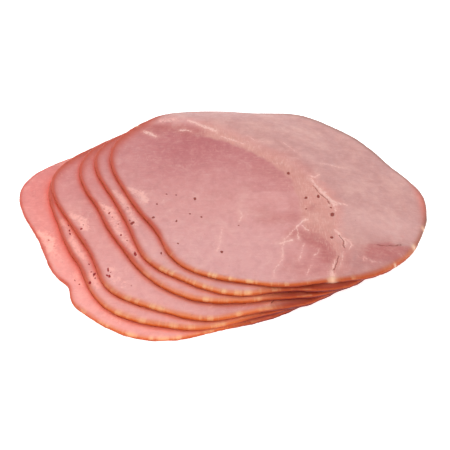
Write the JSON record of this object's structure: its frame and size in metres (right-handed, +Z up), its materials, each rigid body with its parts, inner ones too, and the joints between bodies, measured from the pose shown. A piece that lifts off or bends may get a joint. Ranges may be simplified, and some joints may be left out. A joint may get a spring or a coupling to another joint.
{
  "type": "sliced ham pile",
  "caption": "Thin round slices of smoked cooked ham laid flat in a fanned pile, each with lean muscles, a fat seam and a browned rind.",
  "frame": {"origin": "centre of the bottom slice's underside, where the pile rests on a table", "axes": "+X along the pile's long side, the way the slices are fanned, +Y towards its back, +Z up through the slices"},
  "size_m": [0.202, 0.1434, 0.0159],
  "materials": {
    "main_lean": "moist, satin, pink lean meat with faint grain and small pores",
    "side_lean": "moist, satin, paler mottled lean meat",
    "wedge_lean": "moist, satin, dark red-pink lean meat",
    "seam_fat": "soft, satin, pale fat and connective tissue with white streaks",
    "rind": "browned, slightly glossy smoked outer skin"
  },
  "bodies": {
    "slice_1": {"slice_1_main_muscle": "main_lean", "slice_1_side_muscle": "side_lean", "slice_1_wedge_muscle": "wedge_lean", "slice_1_fat_seam": "seam_fat", "slice_1_smoked_rind": "rind"},
    "slice_2": {"slice_2_main_muscle": "main_lean", "slice_2_side_muscle": "side_lean", "slice_2_wedge_muscle": "wedge_lean", "slice_2_fat_seam": "seam_fat", "slice_2_smoked_rind": "rind"},
    "slice_3": {"slice_3_main_muscle": "main_lean", "slice_3_side_muscle": "side_lean", "slice_3_wedge_muscle": "wedge_lean", "slice_3_fat_seam": "seam_fat", "slice_3_smoked_rind": "rind"},
    "slice_4": {"slice_4_main_muscle": "main_lean", "slice_4_side_muscle": "side_lean", "slice_4_wedge_muscle": "wedge_lean", "slice_4_fat_seam": "seam_fat", "slice_4_smoked_rind": "rind"},
    "slice_5": {"slice_5_main_muscle": "main_lean", "slice_5_side_muscle": "side_lean", "slice_5_wedge_muscle": "wedge_lean", "slice_5_fat_seam": "seam_fat", "slice_5_smoked_rind": "rind"},
    "slice_6": {"slice_6_main_muscle": "main_lean", "slice_6_side_muscle": "side_lean", "slice_6_wedge_muscle": "wedge_lean", "slice_6_fat_seam": "seam_fat", "slice_6_smoked_rind": "rind"}
  },
  "joints": [
    {"name": "slice_2_lift", "type": "slide", "parent": "slice_1", "child": "slice_2", "axis": [0, 0, 1], "range_m": [0, 0.04]},
    {"name": "slice_3_lift", "type": "slide", "parent": "slice_2", "child": "slice_3", "axis": [0, 0, 1], "range_m": [0, 0.04]},
    {"name": "slice_4_lift", "type": "slide", "parent": "slice_3", "child": "slice_4", "axis": [0, 0, 1], "range_m": [0, 0.04]},
    {"name": "slice_5_lift", "type": "slide", "parent": "slice_4", "child": "slice_5", "axis": [0, 0, 1], "range_m": [0, 0.04]},
    {"name": "slice_6_lift", "type": "slide", "parent": "slice_5", "child": "slice_6", "axis": [0, 0, 1], "range_m": [0, 0.04]}
  ]
}
